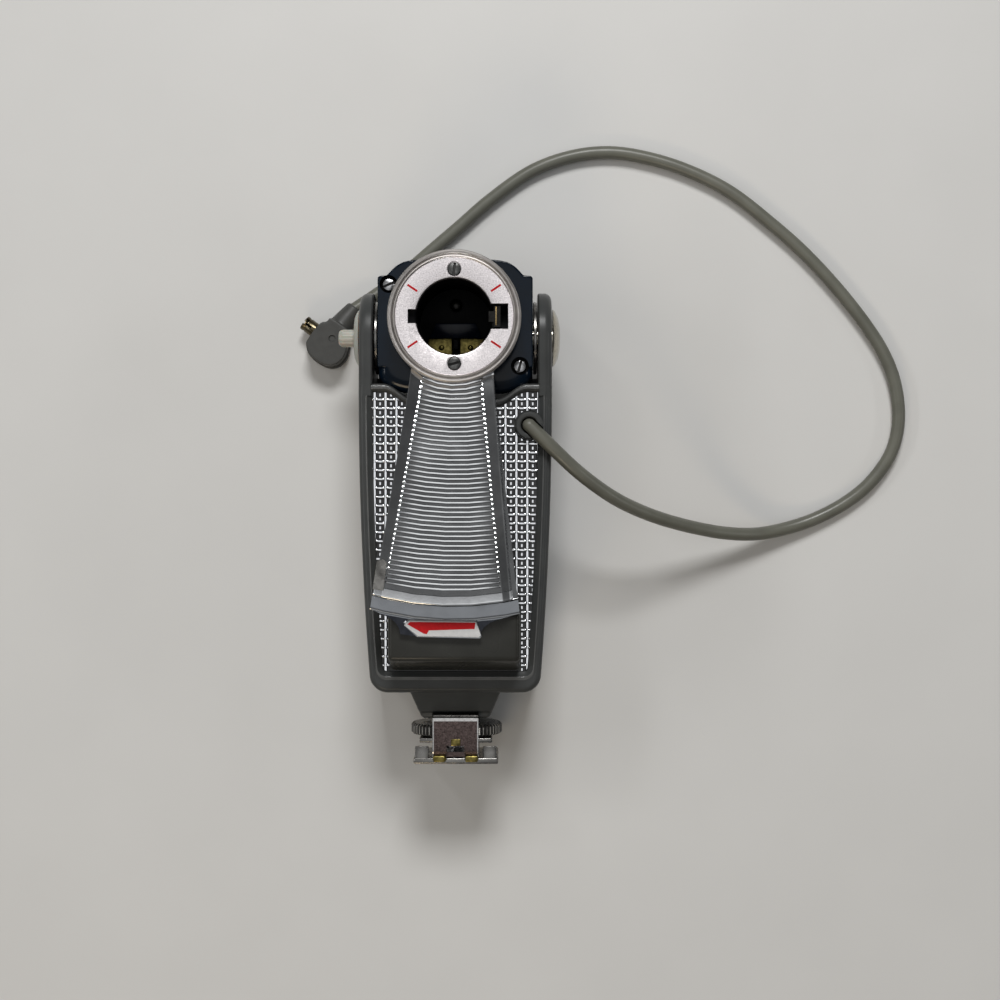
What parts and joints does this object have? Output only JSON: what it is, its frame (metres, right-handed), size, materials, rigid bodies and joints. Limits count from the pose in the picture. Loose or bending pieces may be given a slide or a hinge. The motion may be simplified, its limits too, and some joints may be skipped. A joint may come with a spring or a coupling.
{
  "type": "flash bulb gun",
  "caption": "Folding-fan flash bulb gun: slim case, tilting head with a bulb socket, nested reflector leaves, shoe foot with a clamp wheel, and a sync cord with a right-angle plug.",
  "frame": {"origin": "on the outer face of the rear cover, on the case's centre plane, about midway between the foot and the head", "axes": "+Z out of the front of the gun, +Y from the foot to the head, +X to the cord's side"},
  "size_m": [0.1394, 0.1395, 0.0461],
  "materials": {
    "grey_plastic": "moulded grey plastic, glossy",
    "navy_plastic": "moulded navy-black plastic, glossy",
    "black_plastic": "moulded black insulator",
    "chrome_sheet": "bright chrome plate",
    "leaf_metal": "polished reflector sheet",
    "satin_silver": "satin silver with a polished rim",
    "brass": "bare contact brass",
    "dark_steel": "darkened steel",
    "grey_cord": "soft grey cord jacket",
    "pale_plastic": "pale grey translucent plastic",
    "paper_label": "printed paper wrap",
    "brown_board": "phenolic board",
    "white_enamel": "white plate with a red arrow"
  },
  "bodies": {
    "gun_body": {"front_housing": "grey_plastic", "rear_cover": "grey_plastic", "fan_rest": "grey_plastic", "cord_bush": "grey_plastic", "plug_body": "grey_plastic", "plug_insulator": "black_plastic", "face_plate": "chrome_sheet", "foot_bracket": "chrome_sheet", "foot_plate": "chrome_sheet", "plug_sleeve": "chrome_sheet", "contact_plus": "brass", "contact_minus": "brass", "plug_pin": "brass", "cover_screw": "dark_steel", "bracket_screw": "dark_steel", "clamp_stud": "dark_steel", "capacitor": "dark_steel", "sync_cord": "grey_cord", "cord_lead": "grey_cord", "battery": "paper_label", "resistor": "paper_label", "terminal_board": "brown_board"},
    "head": {"head_shell": "navy_plastic", "head_back": "navy_plastic", "head_screw_left": "dark_steel", "head_screw_right": "dark_steel", "friction_washer_left": "chrome_sheet", "friction_washer_right": "chrome_sheet", "pivot_bush": "pale_plastic", "pivot_cap": "chrome_sheet", "socket_tube": "black_plastic", "contact_block": "black_plastic", "ground_pin": "brass", "adapter_ledge": "navy_plastic", "contact_post": "black_plastic", "side_contact_left": "brass", "side_contact_right": "brass", "bezel_ring": "satin_silver", "bezel_screw_low": "dark_steel", "bezel_screw_high": "dark_steel", "fan_leaf_01": "leaf_metal", "eject_spring": "dark_steel"},
    "ejector": {"eject_button": "pale_plastic", "eject_slide": "dark_steel"},
    "clamp": {"clamp_plate": "chrome_sheet"},
    "clamp_wheel": {"clamp_wheel": "chrome_sheet"},
    "leaf_02": {"fan_leaf_02": "leaf_metal"},
    "leaf_03": {"fan_leaf_03": "leaf_metal"},
    "leaf_04": {"fan_leaf_04": "leaf_metal"},
    "leaf_05": {"fan_leaf_05": "leaf_metal"},
    "leaf_06": {"fan_leaf_06": "leaf_metal"},
    "leaf_07": {"fan_leaf_07": "leaf_metal"},
    "leaf_08": {"fan_leaf_08": "leaf_metal"},
    "leaf_09": {"fan_leaf_09": "leaf_metal"},
    "leaf_10": {"fan_leaf_10": "leaf_metal"},
    "leaf_11": {"fan_leaf_11": "leaf_metal"},
    "leaf_12": {"fan_leaf_12": "leaf_metal"},
    "pull_leaf": {"fan_leaf_13": "leaf_metal", "tab_plate": "white_enamel"}
  },
  "joints": [
    {"name": "head_tilt", "type": "hinge", "parent": "gun_body", "child": "head", "pos_m": [0, 0.0358, 0.019], "axis": [-1, 0, 0], "range_deg": [0, 90], "deforming": ["sync_cord"]},
    {"name": "fan_open", "type": "hinge", "parent": "head", "child": "pull_leaf", "pos_m": [0, 0.0389, 0.0299], "axis": [0, 0, -1], "range_deg": [0, 330]},
    {"name": "leaf_02_turn", "type": "hinge", "parent": "head", "child": "leaf_02", "pos_m": [0, 0.0389, 0.0299], "axis": [0, 0, -1], "range_deg": [0, 27.5]},
    {"name": "leaf_03_turn", "type": "hinge", "parent": "head", "child": "leaf_03", "pos_m": [0, 0.0389, 0.0299], "axis": [0, 0, -1], "range_deg": [0, 55]},
    {"name": "leaf_04_turn", "type": "hinge", "parent": "head", "child": "leaf_04", "pos_m": [0, 0.0389, 0.0299], "axis": [0, 0, -1], "range_deg": [0, 82.5]},
    {"name": "leaf_05_turn", "type": "hinge", "parent": "head", "child": "leaf_05", "pos_m": [0, 0.0389, 0.0299], "axis": [0, 0, -1], "range_deg": [0, 110]},
    {"name": "leaf_06_turn", "type": "hinge", "parent": "head", "child": "leaf_06", "pos_m": [0, 0.0389, 0.0299], "axis": [0, 0, -1], "range_deg": [0, 137.5]},
    {"name": "leaf_07_turn", "type": "hinge", "parent": "head", "child": "leaf_07", "pos_m": [0, 0.0389, 0.0299], "axis": [0, 0, -1], "range_deg": [0, 165]},
    {"name": "leaf_08_turn", "type": "hinge", "parent": "head", "child": "leaf_08", "pos_m": [0, 0.0389, 0.0299], "axis": [0, 0, -1], "range_deg": [0, 192.5]},
    {"name": "leaf_09_turn", "type": "hinge", "parent": "head", "child": "leaf_09", "pos_m": [0, 0.0389, 0.0299], "axis": [0, 0, -1], "range_deg": [0, 220]},
    {"name": "leaf_10_turn", "type": "hinge", "parent": "head", "child": "leaf_10", "pos_m": [0, 0.0389, 0.0299], "axis": [0, 0, -1], "range_deg": [0, 247.5]},
    {"name": "leaf_11_turn", "type": "hinge", "parent": "head", "child": "leaf_11", "pos_m": [0, 0.0389, 0.0299], "axis": [0, 0, -1], "range_deg": [0, 275]},
    {"name": "leaf_12_turn", "type": "hinge", "parent": "head", "child": "leaf_12", "pos_m": [0, 0.0389, 0.0299], "axis": [0, 0, -1], "range_deg": [0, 302.5]},
    {"name": "eject_push", "type": "slide", "parent": "head", "child": "ejector", "axis": [1, 0, 0], "range_m": [0, 0.0015], "stiffness_N_per_m": 40, "deforming": ["eject_spring"]},
    {"name": "clamp_slide", "type": "slide", "parent": "gun_body", "child": "clamp", "axis": [0, -1, 0], "range_m": [0, 0.0012]},
    {"name": "clamp_turn", "type": "hinge", "parent": "clamp", "child": "clamp_wheel", "pos_m": [0, -0.0508, 0.0146], "axis": [0, -1, 0], "range_deg": [0, 540]}
  ],
  "couplings": [
    {"joint": "leaf_02_turn", "follows": "fan_open", "ratio": 0.083333},
    {"joint": "leaf_03_turn", "follows": "fan_open", "ratio": 0.16667},
    {"joint": "leaf_04_turn", "follows": "fan_open", "ratio": 0.25},
    {"joint": "leaf_05_turn", "follows": "fan_open", "ratio": 0.33333},
    {"joint": "leaf_06_turn", "follows": "fan_open", "ratio": 0.41667},
    {"joint": "leaf_07_turn", "follows": "fan_open", "ratio": 0.5},
    {"joint": "leaf_08_turn", "follows": "fan_open", "ratio": 0.58333},
    {"joint": "leaf_09_turn", "follows": "fan_open", "ratio": 0.66667},
    {"joint": "leaf_10_turn", "follows": "fan_open", "ratio": 0.75},
    {"joint": "leaf_11_turn", "follows": "fan_open", "ratio": 0.83333},
    {"joint": "leaf_12_turn", "follows": "fan_open", "ratio": 0.91667},
    {"joint": "clamp_turn", "follows": "clamp_slide", "rad_per_m": 7854}
  ]
}
